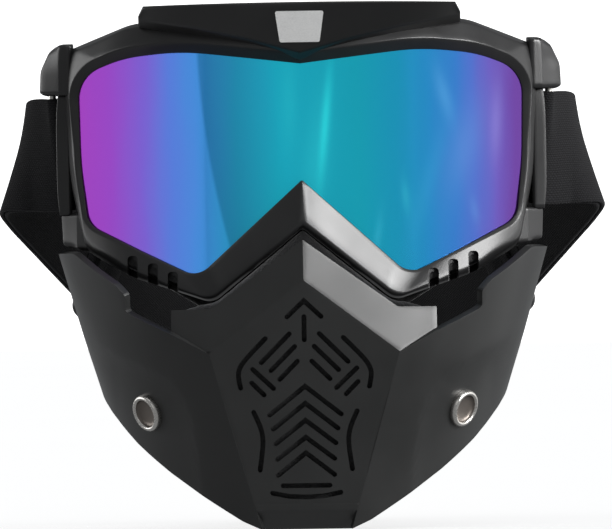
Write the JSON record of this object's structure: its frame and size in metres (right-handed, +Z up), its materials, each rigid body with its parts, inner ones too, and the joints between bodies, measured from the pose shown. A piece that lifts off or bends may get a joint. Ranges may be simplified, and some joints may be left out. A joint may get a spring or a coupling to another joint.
{
  "type": "motorcycle goggles",
  "caption": "Wide mirrored goggles with a foam-lined frame, an elastic head strap with two sliding adjusters, and a separate vented mask for the lower face.",
  "frame": {"origin": "on the surface it stands on, under the middle of its bounding box", "axes": "+Z up, +X towards the wearer's left, the lens faces -Y"},
  "size_m": [0.2134, 0.1801, 0.1828],
  "materials": {
    "frame_plastic": "fine-grained satin black",
    "badge_metal": "brushed",
    "lens_mirror": "blue to violet mirror coating",
    "gasket_rubber": "soft, matte",
    "inner_rubber": "soft moulded, matte",
    "face_foam": "closed foam, fine cells",
    "fleece": "brushed fleece",
    "open_foam": "open-cell foam",
    "steel": "bright",
    "webbing": "woven elastic",
    "slider_plastic": "satin black",
    "mask_plastic": "satin black"
  },
  "bodies": {
    "mask": {"mask_shell": "mask_plastic", "mask_filter": "open_foam", "filter_retainer": "slider_plastic", "mask_nose_pad": "face_foam", "mask_chin_pad": "face_foam", "mask_cheek_pad_right": "face_foam", "mask_cheek_pad_left": "face_foam", "rivets": "steel", "rivet_washers": "steel"},
    "goggles": {"goggle_frame": "frame_plastic", "brow_badge": "badge_metal", "lens": "lens_mirror", "lens_gasket": "gasket_rubber", "inner_frame": "inner_rubber", "face_foam": "face_foam", "face_fleece": "fleece", "vent_foam_right": "open_foam", "vent_foam_left": "open_foam", "strap_pins": "steel", "head_strap": "webbing", "strap_return_right": "webbing", "strap_return_left": "webbing"},
    "slider_right": {"strap_adjuster_right": "slider_plastic", "strap_end_right": "webbing"},
    "slider_left": {"strap_adjuster_left": "slider_plastic", "strap_end_left": "webbing"}
  },
  "joints": [
    {"name": "goggles_lift_off", "type": "slide", "parent": "mask", "child": "goggles", "axis": [0, 0, 1], "range_m": [0, 0.04]},
    {"name": "strap_adjust_right", "type": "slide", "parent": "goggles", "child": "slider_right", "axis": [-0.5002, 0.6603, -0.5602], "range_m": [0, 0.016]},
    {"name": "strap_adjust_left", "type": "slide", "parent": "goggles", "child": "slider_left", "axis": [0.5002, 0.6603, -0.5602], "range_m": [0, 0.016]}
  ]
}
